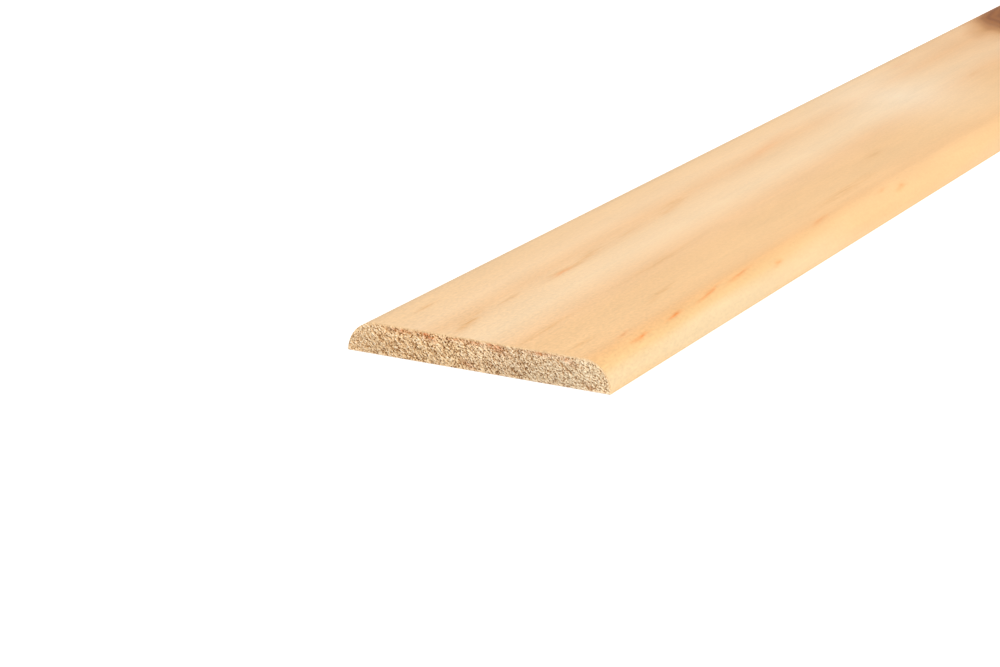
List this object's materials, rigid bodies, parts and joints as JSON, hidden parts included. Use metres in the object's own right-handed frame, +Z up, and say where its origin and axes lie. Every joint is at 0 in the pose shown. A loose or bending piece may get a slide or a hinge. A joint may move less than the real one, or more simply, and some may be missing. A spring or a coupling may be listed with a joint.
{
  "type": "flat cover strip",
  "caption": "Long flat pine cover strip with a flat back and two fully rounded front edges, nailed or glued over a joint or gap as trim.",
  "frame": {"origin": "middle of the flat back, halfway along the strip", "axes": "+X along the length, +Y across the width, +Z up through the thickness to the rounded face; the end that the picture shows is at -X"},
  "size_m": [0.9, 0.045, 0.005],
  "materials": {
    "pine": "planed, unfinished pine, satin matte, with rough sawn ends"
  },
  "bodies": {
    "root": {"cover_strip": "pine"}
  },
  "joints": []
}
